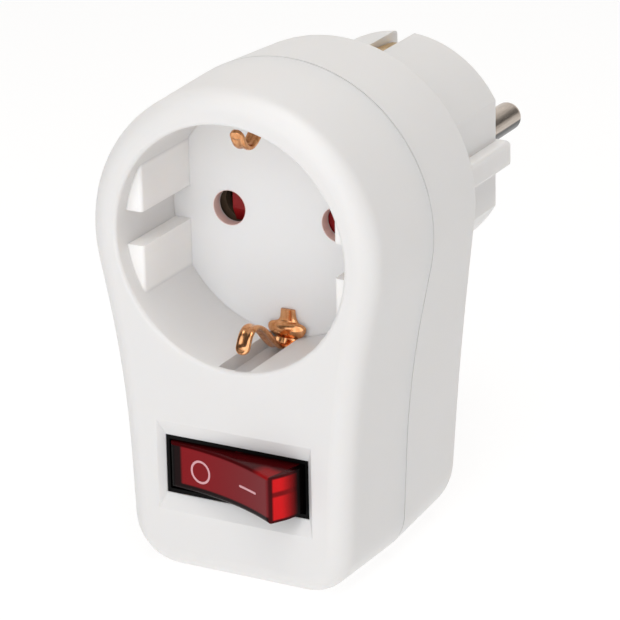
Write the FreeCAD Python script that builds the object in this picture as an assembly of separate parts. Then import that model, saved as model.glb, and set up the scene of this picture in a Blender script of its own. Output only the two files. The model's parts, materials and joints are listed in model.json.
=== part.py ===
import FreeCAD, Part
import math
import os
from FreeCAD import Vector

# Switched plug adapter, in millimetres.
# It is drawn with the socket's axis as Y, the front face at Y 0, the pins towards +Y, X to the
# right and Z up. At the end everything is moved so that the middle of its footprint is the origin.

# Casing
crown_r_front = 24.5
crown_taper = 0.6
waist_half_w_front = 20.08
waist_half_w_back = 21.7
waist_z = -23.5
waist_reach = 12.9
half_w_front = 18.75
half_w_back = 19.26
base_depth = 54.45
base_trim = 0.02
corner_r_front = 8.0
corner_r_back = 11.3
seam_flare = 0.55
seam_y = 18.9
casing_depth = 37.6
seam_gap = 0.25
front_round = 3.5
back_round = 3.0
wall = 2.2
front_wall = 2.4
lip_skin = 0.8
lip_depth = 1.5
lip_clearance = 0.1

# Socket
socket_r = 19.5
socket_depth = 17.5
socket_wall = 1.6
socket_floor = 2.0
rim_round = 0.6
pin_spacing = 19.0
pin_hole_r = 2.8
guide_x = 16.46
guide_front_y = 3.0
guide_slot_w = 5.5
guide_round = 0.6
earth_slot_w = 5.4
earth_slot_front_y = 1.0
earth_slot_lead = 2.1
earth_slot_depth = 2.1
earth_slot_wall = 1.0

# Plug
plug_r = 18.41
plug_end_y = 59.9
plug_flat_x = 16.14
plug_end_wall = 2.5
plug_edge_round = 1.0
plug_rib_half_h = 2.15
plug_rib_round = 0.8
notch_w = 3.5
notch_floor_z = 15.9
notch_wall = 1.6
strip_passage = 1.6
pin_r = 2.4
pin_length = 19.0
pin_tip_round = 1.5
pin_neck_r = 2.1
pin_clearance = 0.05
pin_collar_r = 3.3
pin_collar_t = 1.5
pin_tail_r = 1.5

# Switch: window, housing and snap hooks
switch_height = 17.45
window_half_w = 12.5
window_half_h = 4.85
window_bevel_w = 1.0
window_bevel_h = 2.55
window_bevel_depth = 1.0
window_gap = 0.05
collar_front_y = 1.1
collar_rim = 0.55
collar_rim_z = 0.65
box_margin_w = 0.9
box_margin_h = 0.95
box_back_y = 18.0
box_floor = 1.5
partition_half_t = 0.35
partition_lead = 1.2
hook_gap = 0.2
hook_t = 1.5
hook_half_w = 3.0
hook_play = 0.1
hook_barb = 0.8
hook_head = 1.6

# Rocker and plungers
rocker_pivot_y = 2.3
rocker_half_angle = 16.4
rocker_drop = 3.53
rocker_hollow = 1.3
rocker_shoulder = 2.06
rocker_end_lean = 14.5
rocker_end_gap = 0.3
rocker_side_gap = 0.35
rocker_skirt = 4.5
rocker_wall = 1.0
rocker_rib_half_t = 0.45
rocker_hub_half_w = 2.2
rocker_edge_round = 0.6
trunnion_r = 0.9
trunnion_clearance = 0.05
trunnion_reach = 0.4
plunger_r = 0.9
plunger_fit = 0.05
plunger_length = 7.0
plunger_gap = 0.25
plunger_point = 0.65
plunger_bore_top = 1.2
spring_wire = 0.3

# Levers and terminals
pole_offset = 1.8
lever_tilt = 8.0
lever_half_l = 8.0
lever_w = 2.3
lever_t = 0.8
lever_end_round = 0.3
lever_hinge_y = 12.8
knife_r = 0.4
knife_clearance = 0.1
contact_x = 7.0
contact_r = 0.9
contact_t = 0.5
contact_gap = 0.3
contact_blade_offset = 0.6
blade_t = 0.8
blade_clearance = 0.05
blade_out = 0.6
foot_half = 1.6
foot_margin = 1.2

# Lamp
lamp_r = 1.1
lamp_length = 6.0
lamp_x = 7.2
lamp_y = 15.3
lamp_end = 0.5
lead_half = 0.22
lead_gap = 0.3
lead_out = 1.6
lead_clearance = 0.06
resistor_r = 0.85
resistor_length = 4.5
resistor_end = 0.3

# Shutter and carrier
boss_r = 2.75
boss_end_y = 28.8
boss_clearance = 0.1
shutter_gap = 0.3
shutter_t = 1.6
shutter_half_w = 3.0
shutter_reach = 10.2
shutter_hub_r = 4.2
shutter_fit = 0.1
ramp_depth = 1.1
ramp_width = 2.2
ramp_start_x = 6.6
return_spring_x = 5.0
return_spring_r = 0.8
return_stop_z = -12.4
return_stop_half_w = 1.5
return_stop_t = 0.8
return_stop_gap = 0.2
carrier_inset = 2.9
carrier_t = 1.5
ring_t = 1.4

# Strips and contacts, all bent from one thickness of sheet
sheet_t = 0.8
bend_r = 0.5
layer_gap = 1.2
pin_pass = 0.6
strip_fit = 0.02
feed_w = 5.0
feed_top_z = 2.8
feed_run_z = -8.0
leaf_w = 6.0
leaf_root_z = 2.0
leaf_z = 4.3
leaf_tip_z = 3.9
leaf_pin_gap = 0.1
leaf_bends_y = (4.5, 8.0, 10.4)
plate_half_w = 3.7
tail_half_w = 1.4
loop_shift = 0.7
loop_drop = 6.8
loop_top = 1.3
loop_strip_w = 2.2

# Earth contacts. The finger's and the bell's points are a place along Y and the distance inside the
# socket's wall, and the bell's shape from the front is half its width and that same distance.
earth_strap_w = 4.0
earth_strap_ring = 1.8
earth_strap_end = 2.2
earth_foot_z = 5.5
earth_leg_inset = 1.0
earth_leg_front_y = 15.6
finger_w = 2.4
finger_bend = 1.1
finger_path = ((15.9, 0.1), (15.2, -0.9), (13.6, -0.5), (8.4, 4.9), (5.2, 5.1), (3.4, 1.6))
bell_half_w = 3.3
bell_bend = 0.7
bell_path = ((17.1, 4.5), (17.1, 2.5), (15.0, 1.6), (16.2, -0.5), (14.6, -0.9))
bell_shape = ((1.4, 5.5), (1.5, 2.9), (3.3, 1.9), (3.1, 1.3), (1.5, 0.3), (1.4, -2.0))
bell_corner_r = 0.3
bell_depth = (13.0, 19.0)

# Plug's earth bracket and the rivets that join it to the socket's earth contacts
bracket_y = 29.0
bracket_hub_r = 4.2
bracket_side_gap = 0.25
bracket_lift = 0.1
bow_start = 1.5
bow_middle = 9.4
bow_rise = 1.1
bow_end_gap = 2.3
rivet_z = 7.5
rivet_r = 1.6
rivet_tenon_r = 1.0
rivet_fit = 0.02
rivet_head_r = 1.4
rivet_head_t = 0.5

# Screws, posts and wells
screw_r = 1.45
screw_head_r = 2.9
screw_head_t = 2.0
screw_fit = 0.05
screw_tip = 0.6
screw_tip_gap = 0.6
recess_half_l = 1.6
recess_half_w = 0.35
recess_depth = 1.1
boss_hole_floor = 0.8
post_hole_floor = 4.0
post_side_gap = 5.15
post_base_gap = 7.65
post_r = 3.0
well_depth = 3.6
well_wall = 1.2
well_floor = 2.0
tube_r = 4.5
tube_floor = 1.6
tube_gap = 0.1

# How far a joined piece starts inside its neighbour, and how far a cut runs past what it cuts
sink = 0.5
over = 1.0

# Places that follow from the sizes above
pin_x = pin_spacing / 2
crown_r_back = crown_r_front - crown_taper
floor_back_y = socket_depth + socket_floor
earth_slot_inner_z = socket_r - earth_slot_lead
earth_slot_outer_z = socket_r + earth_slot_depth
earth_leg_z = socket_r - earth_leg_inset
shutter_y = floor_back_y + shutter_gap
carrier_r = socket_r - carrier_inset
carrier_y = shutter_y + shutter_t + shutter_gap
strap_y = carrier_y + carrier_t
strap_back_y = strap_y + sheet_t
feed_y = strap_back_y + layer_gap
bracket_back_y = bracket_y + sheet_t
plug_inner_y = plug_end_y - plug_end_wall
pin_foot_y = plug_inner_y - pin_collar_t
tube_seat_y = bracket_back_y + tube_gap
tube_head_y = tube_seat_y + tube_floor
post_x = half_w_front - post_side_gap
post_z = post_base_gap - base_depth
well_r = screw_head_r + 2 * screw_fit
well_y = casing_depth - well_depth
post_places = ((-post_x, post_z), (post_x, post_z))
switch_z = switch_height - base_depth
upper_z = switch_z + pole_offset
lower_z = switch_z - pole_offset
collar_half_w = window_half_w - window_gap
collar_half_h = window_half_h - window_gap
well_half_w = collar_half_w - collar_rim
well_half_h = collar_half_h - collar_rim_z
box_half_w = window_half_w + box_margin_w
box_half_h = window_half_h + box_margin_h
rocker_half_h = well_half_h - rocker_side_gap
rocker_reach = well_half_w - rocker_end_gap
trunnion_end = well_half_h + trunnion_reach
lever_front = knife_r + lever_t
plunger_tip = lever_hinge_y - lever_front - plunger_gap - rocker_pivot_y
partition_front_y = lever_hinge_y - lever_front - partition_lead
fixed_blade_x = -contact_x - contact_blade_offset
fixed_button_y = lever_hinge_y + contact_x * math.sin(math.radians(lever_tilt)) + contact_gap
fixed_blade_y = fixed_button_y + contact_t
slot_half_t = blade_t / 2 + blade_clearance
slot_half_w = lever_w / 2 + blade_clearance
lamp_leads_x = (lamp_x - lamp_length / 2 - lead_gap, lamp_x + lamp_length / 2 + lead_gap)
lead_end_y = box_back_y + lead_out


def block(x0, x1, y0, y1, z0, z1):
    return Part.makeBox(x1 - x0, y1 - y0, z1 - z0, Vector(x0, y0, z0))


def either_side(x0, x1, y0, y1, z0, z1):
    # The same block above the axis and below it.
    return [block(x0, x1, y0, y1, z0, z1), block(x0, x1, y0, y1, -z1, -z0)]


def rod_x(radius, x0, x1, y, z):
    return Part.makeCylinder(radius, x1 - x0, Vector(x0, y, z), Vector(1, 0, 0))


def rod_y(radius, y0, y1, x=0.0, z=0.0):
    return Part.makeCylinder(radius, y1 - y0, Vector(x, y0, z), Vector(0, 1, 0))


def rod_z(radius, z0, z1, x=0.0, y=0.0):
    return Part.makeCylinder(radius, z1 - z0, Vector(x, y, z0), Vector(0, 0, 1))


def rounded_loop(corners):
    # Each corner is a point in the plane and the radius that rounds it.
    ends = []
    count = len(corners)
    for i in range(count):
        point, radius = corners[i]
        before = (point - corners[i - 1][0]).normalize()
        after = (corners[(i + 1) % count][0] - point).normalize()
        turn = before.getAngle(after)
        if radius < 1e-6 or turn < 1e-4:
            ends.append((point, point, point))
            continue
        reach = radius * math.tan(turn / 2)
        start = point - before * reach
        finish = point + after * reach
        inward = (after - before).normalize()
        centre = point + inward * (radius / math.cos(turn / 2))
        ends.append((start, centre - inward * radius, finish))
    edges = []
    for i in range(count):
        start, middle, finish = ends[i]
        if (finish - start).Length > 1e-6:
            edges.append(Part.Arc(start, middle, finish).toShape())
        following = ends[(i + 1) % count][0]
        if (following - finish).Length > 1e-6:
            edges.append(Part.LineSegment(finish, following).toShape())
    return Part.Wire(edges)


def flat_face(corners):
    return Part.Face(rounded_loop(corners))


def side(y, z):
    return Vector(0, y, z)


def front(x, z):
    return Vector(x, 0, z)


def plan(x, y):
    return Vector(x, y, 0)


def sheet_section(path, thickness, bend, normal):
    # The cut edge of a bent sheet that follows the path along its middle.
    left = []
    right = []
    half = thickness / 2
    last = len(path) - 1
    for i in range(last + 1):
        before = (path[i] - path[i - 1]) if i else (path[1] - path[0])
        after = (path[i + 1] - path[i]) if i < last else before
        before = Vector(before).normalize()
        after = Vector(after).normalize()
        across_before = normal.cross(before)
        across_after = normal.cross(after)
        share = 1 + across_before.dot(across_after)
        across = (across_before + across_after) * (half / share)
        turn = normal.dot(before.cross(after))
        inner = bend if 0 < i < last else 0
        outer = bend + thickness if 0 < i < last else 0
        left.append((path[i] + across, inner if turn > 0 else outer))
        right.append((path[i] - across, outer if turn > 0 else inner))
    return flat_face(left + right[::-1])


def side_sheet(path, width, x=0.0, bend=bend_r):
    section = sheet_section([side(y, z) for y, z in path], sheet_t, bend, Vector(1, 0, 0))
    section.translate(Vector(x - width / 2, 0, 0))
    return section.extrude(Vector(width, 0, 0))


def front_plate(corners, y, thickness):
    face = flat_face([(front(x, z), radius) for x, z, radius in corners])
    face.translate(Vector(0, y, 0))
    return face.extrude(Vector(0, thickness, 0))


def edges_at_y(shape, y):
    found = []
    for edge in shape.Edges:
        box = edge.BoundBox
        if abs(box.YMin - y) < 1e-4 and abs(box.YMax - y) < 1e-4:
            found.append(edge)
    return found


def mirrored(shape, normal):
    return shape.mirror(Vector(0, 0, 0), normal)


def spring_sleeve(outer_r, length):
    # A fine coil about Z, drawn as the sleeve that its turns fill.
    return rod_z(outer_r, 0, length).cut(rod_z(outer_r - spring_wire, -over, length + over))


def casing_outline(y, crown_r, waist_w, half_w, corner_r, inset=0.0, flare=0.0):
    # A crown arc, a side line to the waist, a hollow there, a side line to the rounded base corner.
    # The flare widens all but the base line, and the inset draws in everything.
    shrink = inset - flare
    radius = crown_r - shrink
    upper = -math.atan2(waist_z, waist_w) - math.acos(crown_r / math.hypot(waist_w, waist_z))
    lower = math.atan2(waist_w - half_w, base_depth + waist_z)
    upper_out = Vector(math.cos(upper), 0, -math.sin(upper))
    lower_out = Vector(math.cos(lower), 0, -math.sin(lower))
    upper_way = Vector(-math.sin(upper), 0, -math.cos(upper))
    lower_way = Vector(-math.sin(lower), 0, -math.cos(lower))
    middle_out = (upper_out + lower_out).normalize()
    half_turn = (upper - lower) / 2
    join = upper_out * radius
    waist = Vector(waist_w, 0, waist_z) - middle_out * (shrink / math.cos(half_turn))
    hollow_r = waist_reach / math.tan(half_turn) + shrink
    reach = hollow_r * math.tan(half_turn)
    waist_top = waist - upper_way * reach
    waist_end = waist + lower_way * reach
    waist_middle = waist_top + upper_out * hollow_r - middle_out * hollow_r
    base_z = inset - base_depth - base_trim
    corner = corner_r - inset
    corner_point = waist + lower_way * ((waist.z - base_z) / math.cos(lower))
    corner_reach = corner * math.tan((math.pi / 2 - lower) / 2)
    corner_top = corner_point - lower_way * corner_reach
    corner_end = corner_point - Vector(corner_reach, 0, 0)
    corner_centre = corner_end + Vector(0, 0, corner)
    corner_middle = corner_centre + (corner_point - corner_centre).normalize() * corner
    right = [join, waist_top, waist_middle, waist_end, corner_top, corner_middle, corner_end]
    left = [Vector(-point.x, 0, point.z) for point in right]
    edges = [
        Part.Arc(left[0], Vector(0, 0, radius), right[0]),
        Part.LineSegment(right[0], right[1]),
        Part.Arc(right[1], right[2], right[3]),
        Part.LineSegment(right[3], right[4]),
        Part.Arc(right[4], right[5], right[6]),
        Part.LineSegment(right[6], left[6]),
        Part.Arc(left[6], left[5], left[4]),
        Part.LineSegment(left[4], left[3]),
        Part.Arc(left[3], left[2], left[1]),
        Part.LineSegment(left[1], left[0]),
    ]
    outline = Part.Wire([edge.toShape() for edge in edges])
    outline.translate(Vector(0, y, 0))
    return outline


def front_outline(y, inset=0.0):
    return casing_outline(y, crown_r_front, waist_half_w_front, half_w_front, corner_r_front, inset)


def seam_outline(y, inset=0.0):
    return casing_outline(y, crown_r_front, waist_half_w_front, half_w_front, corner_r_front,
                          inset, seam_flare)


def back_outline(y, inset=0.0):
    return casing_outline(y, crown_r_back, waist_half_w_back, half_w_back, corner_r_back, inset)


def loft(outlines):
    return Part.makeLoft(outlines, True, True)


def flat_based(body):
    # The base is trimmed to the plane that the adapter stands on.
    box = body.BoundBox
    return body.cut(block(box.XMin - over, box.XMax + over, box.YMin - over, box.YMax + over,
                          box.ZMin - over, -base_depth))


def socket_void():
    # The recess that takes a plug, less the guide blocks at its left and right.
    mouth_r = socket_r + rim_round
    lean = rim_round * math.sqrt(0.5)
    edges = [
        Part.LineSegment(plan(0, -over), plan(mouth_r, -over)),
        Part.LineSegment(plan(mouth_r, -over), plan(mouth_r, 0)),
        Part.Arc(plan(mouth_r, 0), plan(mouth_r - lean, rim_round - lean), plan(socket_r, rim_round)),
        Part.LineSegment(plan(socket_r, rim_round), plan(socket_r, socket_depth)),
        Part.LineSegment(plan(socket_r, socket_depth), plan(0, socket_depth)),
        Part.LineSegment(plan(0, socket_depth), plan(0, -over)),
    ]
    profile = Part.Face(Part.Wire([edge.toShape() for edge in edges]))
    void = profile.revolve(Vector(0, 0, 0), Vector(0, 1, 0), 360)
    segment = rod_y(socket_r + sink, guide_front_y, socket_depth + over)
    outside = socket_r + over
    segment = segment.common(block(guide_x, outside, 0, socket_depth + over, -socket_r, socket_r))
    slot = block(guide_x - over, outside, 0, socket_depth + 2 * over, -guide_slot_w / 2, guide_slot_w / 2)
    segment = segment.cut(slot)
    inner = [edge for edge in edges_at_y(segment, guide_front_y) if edge.BoundBox.XMax < guide_x + 0.01]
    segment = segment.makeFillet(guide_round, inner)
    return void.cut(segment).cut(mirrored(segment, Vector(1, 0, 0)))


def window_void():
    # The switch window widens towards the front with bevelled sides.
    mouth = (0, window_half_w + window_bevel_w, window_half_h + window_bevel_h)
    throat = (window_bevel_depth, window_half_w, window_half_h)
    outlines = []
    for y, half_w, half_h in (mouth, throat):
        corners = [(-half_w, -half_h), (half_w, -half_h), (half_w, half_h), (-half_w, half_h)]
        points = [Vector(x, y, switch_z + z) for x, z in corners]
        outlines.append(Part.makePolygon(points + points[:1]))
    through = block(-window_half_w, window_half_w, -over, front_wall + over,
                    switch_z - window_half_h, switch_z + window_half_h)
    return loft(outlines).fuse(through)


def snap_hook(direction):
    # A springy arm with a barb behind the switch housing.
    inner = box_half_w + hook_gap
    outer = inner + hook_t
    barb_y = box_back_y + hook_play
    root_y = front_wall - sink
    corners = [
        (plan(direction * inner, root_y), 0),
        (plan(direction * outer, root_y), 0),
        (plan(direction * outer, barb_y + hook_head), 0.4),
        (plan(direction * inner, barb_y + hook_head), 0.3),
        (plan(direction * (inner - hook_barb), barb_y + sink), 0),
        (plan(direction * (inner - hook_barb), barb_y), 0),
        (plan(direction * inner, barb_y), 0),
    ]
    arm = flat_face(corners)
    arm.translate(Vector(0, 0, switch_z - hook_half_w))
    return arm.extrude(Vector(0, 0, 2 * hook_half_w))


def front_cover():
    seam_end = seam_y - seam_gap / 2
    past = seam_end + 2 * over
    body = loft([front_outline(0), seam_outline(seam_end)])
    body = flat_based(body.makeFillet(front_round, edges_at_y(body, 0)))
    cavity = loft([front_outline(front_wall, wall), seam_outline(seam_end, wall), seam_outline(past, wall)])
    rebate_y = seam_y - lip_depth - lip_clearance
    rebate = loft([seam_outline(rebate_y, lip_skin), seam_outline(past, lip_skin)])
    body = body.cut(cavity).cut(rebate)
    root_y = front_wall - sink
    behind_y = floor_back_y - sink
    cup = rod_y(socket_r + socket_wall, root_y, floor_back_y)
    ring = rod_y(carrier_r, behind_y, carrier_y)
    ring = ring.cut(rod_y(carrier_r - ring_t, behind_y - over, carrier_y + over))
    boss = rod_y(boss_r, behind_y, boss_end_y)
    stop = block(return_spring_x - return_stop_half_w, return_spring_x + return_stop_half_w,
                 behind_y, carrier_y - return_stop_gap, return_stop_z - return_stop_t, return_stop_z)
    body = body.fuse([cup, ring, boss, stop, snap_hook(1), snap_hook(-1)])
    slot_half = earth_slot_w / 2
    trough_half = slot_half + earth_slot_wall
    trough_r = earth_slot_outer_z + earth_slot_wall
    for trough in either_side(-trough_half, trough_half, root_y, floor_back_y, socket_r, trough_r):
        body = body.fuse(trough.common(rod_y(trough_r, root_y, floor_back_y)))
    for x, z in post_places:
        body = body.fuse(rod_y(post_r, root_y, seam_end, x, z))
    hole_r = screw_r + screw_fit
    cuts = [socket_void(), window_void()]
    cuts.append(rod_y(hole_r, floor_back_y + boss_hole_floor, boss_end_y + over))
    for x, z in post_places:
        cuts.append(rod_y(hole_r, front_wall + post_hole_floor, seam_y + over, x, z))
    for x in (-pin_x, pin_x):
        cuts.append(rod_y(pin_hole_r, socket_depth - over, floor_back_y + over, x))
    cuts.extend(either_side(-slot_half, slot_half, earth_slot_front_y, floor_back_y + over,
                            earth_slot_inner_z, earth_slot_outer_z))
    return body.cut(cuts).removeSplitter()


def plug_outline_solid(inset, y0, y1):
    half = plug_flat_x - inset
    body = rod_y(plug_r - inset, y0, y1)
    return body.common(block(-half, half, y0 - over, y1 + over, -plug_r, plug_r))


def rear_housing():
    seam_end = seam_y + seam_gap / 2
    inside_y = casing_depth - wall
    body = loft([seam_outline(seam_end), back_outline(casing_depth)])
    body = flat_based(body.makeFillet(back_round, edges_at_y(body, casing_depth)))
    lip_inset = lip_skin + lip_clearance
    lip_y = seam_y - lip_depth
    lip = loft([seam_outline(lip_y, lip_inset), seam_outline(seam_end + sink, lip_inset)])
    cavity = loft([seam_outline(lip_y - over, wall), seam_outline(seam_end, wall),
                   back_outline(inside_y, wall)])
    plug = plug_outline_solid(0, casing_depth - over, plug_end_y)
    plug = plug.makeFillet(plug_edge_round, edges_at_y(plug, plug_end_y))
    hollow = plug_outline_solid(wall, inside_y - over, plug_inner_y)
    trough_half = notch_w / 2 + notch_wall
    troughs = either_side(-trough_half, trough_half, inside_y, plug_end_y,
                          notch_floor_z - notch_wall, plug_r + over)
    hollow = hollow.cut(troughs)
    rib_corners = []
    for x, z in ((-plug_r, -plug_rib_half_h), (plug_r, -plug_rib_half_h),
                 (plug_r, plug_rib_half_h), (-plug_r, plug_rib_half_h)):
        rib_corners.append((x, z, plug_rib_round))
    rib = front_plate(rib_corners, casing_depth - over, plug_end_y - casing_depth + over)
    body = body.fuse([lip, plug, rib]).cut(cavity).cut(hollow)
    body = body.fuse(rod_y(tube_r, tube_seat_y, plug_inner_y + sink))
    for x, z in post_places:
        body = body.fuse(rod_y(post_r, seam_end, inside_y + sink, x, z))
        body = body.fuse(rod_y(well_r + well_wall, well_y - well_floor, inside_y + sink, x, z))
    hole_r = screw_r + screw_fit
    cuts = [rod_y(hole_r, tube_seat_y - over, tube_head_y + over)]
    cuts.append(rod_y(well_r, tube_head_y, plug_end_y + over))
    for x, z in post_places:
        cuts.append(rod_y(hole_r, seam_y - over, casing_depth + over, x, z))
        cuts.append(rod_y(well_r, well_y, casing_depth + over, x, z))
    for x in (-pin_x, pin_x):
        cuts.append(rod_y(pin_neck_r + pin_clearance, plug_inner_y - over, plug_end_y + over, x))
    half = notch_w / 2
    cuts.extend(either_side(-half, half, casing_depth, plug_end_y + over, notch_floor_z, plug_r + over))
    cuts.extend(either_side(-half, half, inside_y - over, casing_depth + over,
                            notch_floor_z, notch_floor_z + strip_passage))
    return body.cut(cuts).removeSplitter()


def casing_screw(x, z, seat_y, tip_y):
    shank = rod_y(screw_r, tip_y, seat_y, x, z)
    shank = shank.makeChamfer(screw_tip, edges_at_y(shank, tip_y))
    top = seat_y + screw_head_t
    head = rod_y(screw_head_r, seat_y, top, x, z)
    head = head.makeChamfer(screw_tip, edges_at_y(head, top))
    screw = shank.fuse(head)
    for half_a, half_b in ((recess_half_w, recess_half_l), (recess_half_l, recess_half_w)):
        screw = screw.cut(block(x - half_a, x + half_a, top - recess_depth, top + over,
                                z - half_b, z + half_b))
    return screw


def casing_screws():
    # One screw from the plug's face and two from the back of the casing.
    screws = [casing_screw(0, 0, tube_head_y, floor_back_y + boss_hole_floor + screw_tip_gap)]
    for x, z in post_places:
        screws.append(casing_screw(x, z, well_y, front_wall + post_hole_floor + screw_tip_gap))
    return Part.makeCompound(screws)


def plug_pin(x):
    # The pin is shouldered: its neck passes the plug's end wall and a collar holds it from inside.
    tip_y = plug_end_y + pin_length
    pin = rod_y(pin_r, plug_end_y, tip_y, x)
    pin = pin.makeFillet(pin_tip_round, edges_at_y(pin, tip_y))
    neck = rod_y(pin_neck_r, plug_inner_y - sink, plug_end_y + sink, x)
    collar = rod_y(pin_collar_r, pin_foot_y, plug_inner_y, x)
    tail = rod_y(pin_tail_r, pin_foot_y - sheet_t, pin_foot_y + sink, x)
    return pin.fuse([neck, collar, tail]).removeSplitter()


def blade_slot(x, z, y0, y1):
    return block(x - slot_half_t, x + slot_half_t, y0, y1, z - slot_half_w, z + slot_half_w)


def feed_strip(side_x, terminal_z):
    # From the back of a pin, forward past the contacts and down to the switch's middle terminal.
    tail_y = pin_foot_y - sheet_t / 2
    down_y = feed_y + sheet_t / 2
    foot_z = terminal_z - foot_half
    path = [(tail_y, feed_top_z), (tail_y, feed_run_z), (down_y, feed_run_z), (down_y, foot_z)]
    strip = side_sheet(path, feed_w, side_x)
    ends = sorted((math.copysign(foot_half, -side_x), side_x))
    strip = strip.fuse(block(ends[0], ends[1], feed_y, feed_y + sheet_t, foot_z, terminal_z + foot_half))
    strip = strip.cut(rod_y(pin_tail_r + strip_fit, tail_y - over, tail_y + over, side_x))
    return strip.cut(blade_slot(0, terminal_z, feed_y - over, feed_y + sheet_t + over)).removeSplitter()


def socket_contact(side_x):
    # A holed plate on the carrier, with two leaves that grip the inserted pin.
    plate_y = strap_y + sheet_t / 2
    waist = pin_r + leaf_pin_gap + sheet_t / 2
    leaf = [(plate_y, leaf_root_z), (plate_y, leaf_z)]
    for step, z in zip(leaf_bends_y, (leaf_z, waist, leaf_tip_z)):
        leaf.append((plate_y + step, z))
    leaves = side_sheet(leaf, leaf_w, side_x)
    contact = leaves.fuse(mirrored(leaves, Vector(0, 0, 1)))
    plate = block(side_x - plate_half_w, side_x + plate_half_w, strap_y, strap_back_y, -leaf_z, leaf_z)
    return contact.fuse(plate).cut(rod_y(pin_r + pin_pass, strap_y - over, strap_back_y + over, side_x))


def left_socket_contact():
    tail = block(-pin_x - tail_half_w, fixed_blade_x + foot_margin, strap_y, strap_back_y,
                 upper_z - foot_half, sink - leaf_z)
    slot = blade_slot(fixed_blade_x, upper_z, strap_y - over, strap_back_y + over)
    return socket_contact(-pin_x).fuse(tail).cut(slot).removeSplitter()


def right_socket_contact():
    # Its tail goes round the outside of the other strips to the lower pole.
    low_z = lower_z - loop_drop
    right = pin_x - loop_shift + tail_half_w
    left = fixed_blade_x - foot_margin
    tail = block(right - 2 * tail_half_w, right, strap_y, strap_back_y, low_z, sink - leaf_z)
    across = block(left, right, strap_y, strap_back_y, low_z, low_z + loop_strip_w)
    up = block(left, fixed_blade_x + foot_margin, strap_y, strap_back_y, low_z, lower_z + loop_top)
    slot = blade_slot(fixed_blade_x, lower_z, strap_y - over, strap_back_y + over)
    return socket_contact(pin_x).fuse([tail, across, up]).cut(slot).removeSplitter()


def contact_carrier():
    # The insulating plate that traps the shutter and carries the contacts.
    plate = rod_y(carrier_r, carrier_y, strap_y)
    plate = plate.cut(rod_y(boss_r + boss_clearance, carrier_y - over, strap_y + over))
    for x in (-pin_x, pin_x):
        plate = plate.cut(rod_y(pin_r + pin_pass, carrier_y - over, strap_y + over, x))
    return plate


def pin_shutter():
    # The turning bar that hides the live openings until two pins push it round on its ramps.
    back_y = shutter_y + shutter_t
    bar = block(-shutter_reach, shutter_reach, shutter_y, back_y, -shutter_half_w, shutter_half_w)
    for sign in (1, -1):
        z0 = sign * shutter_half_w
        corners = [
            (side(shutter_y - 0.01, z0), 0),
            (side(shutter_y - 0.01, z0 - sign * ramp_width), 0),
            (side(shutter_y + ramp_depth, z0), 0),
        ]
        wedge = flat_face(corners)
        end = shutter_reach + over
        wedge.translate(Vector(ramp_start_x if sign > 0 else -end, 0, 0))
        bar = bar.cut(wedge.extrude(Vector(end - ramp_start_x, 0, 0)))
    hub = rod_y(shutter_hub_r, shutter_y, back_y)
    return bar.fuse(hub).cut(rod_y(boss_r + shutter_fit, shutter_y - over, back_y + over)).removeSplitter()


def shutter_spring():
    spring = spring_sleeve(return_spring_r, -shutter_half_w - return_stop_z)
    spring.translate(Vector(return_spring_x, shutter_y + shutter_t / 2, return_stop_z))
    return spring


def earth_contact(direction):
    # One bent bronze sheet: foot, leg, bell and hooked finger, drawn for the lower side.
    foot_y = strap_back_y + sheet_t / 2
    leg_path = [(foot_y, -earth_foot_z), (foot_y, -earth_leg_z), (earth_leg_front_y, -earth_leg_z)]
    leg = side_sheet(leg_path, finger_w)
    bell = side_sheet([(y, inside - socket_r) for y, inside in bell_path], 2 * bell_half_w, 0, bell_bend)
    shape = []
    for x, inside in bell_shape:
        shape.append((x, inside - socket_r, bell_corner_r if x > bell_half_w - 2 * bell_corner_r else 0))
    shape = [(-x, z, radius) for x, z, radius in shape] + shape[::-1]
    bell = bell.common(front_plate(shape, bell_depth[0], bell_depth[1] - bell_depth[0]))
    finger = side_sheet([(y, inside - socket_r) for y, inside in finger_path], finger_w, 0, finger_bend)
    tip_y, tip_inside = finger_path[-1]
    tip_z = tip_inside - socket_r
    half = finger_w / 2
    around = block(-finger_w, finger_w, tip_y - over, tip_y + over, tip_z - over, tip_z + half)
    around = around.cut(rod_y(half, tip_y - 2 * over, tip_y + 2 * over, 0, tip_z + half))
    contact = leg.fuse([bell, finger.cut(around)])
    hole = rod_y(rivet_tenon_r + rivet_fit, strap_y, foot_y + over, 0, -rivet_z)
    contact = contact.cut(hole).removeSplitter()
    return contact if direction < 0 else mirrored(contact, Vector(0, 0, 1))


def earth_strap():
    # It goes round the boss and ties both earth contacts to the rivets.
    half = earth_strap_w / 2
    end = rivet_z + earth_strap_end
    strap = block(-half, half, strap_y, strap_back_y, -end, end)
    strap = strap.fuse(rod_y(boss_r + earth_strap_ring, strap_y, strap_back_y))
    strap = strap.cut(rod_y(boss_r + boss_clearance, strap_y - over, strap_back_y + over))
    for z in (-rivet_z, rivet_z):
        strap = strap.cut(rod_y(rivet_tenon_r + rivet_fit, strap_y - over, strap_back_y + over, 0, z))
    return strap.removeSplitter()


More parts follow.
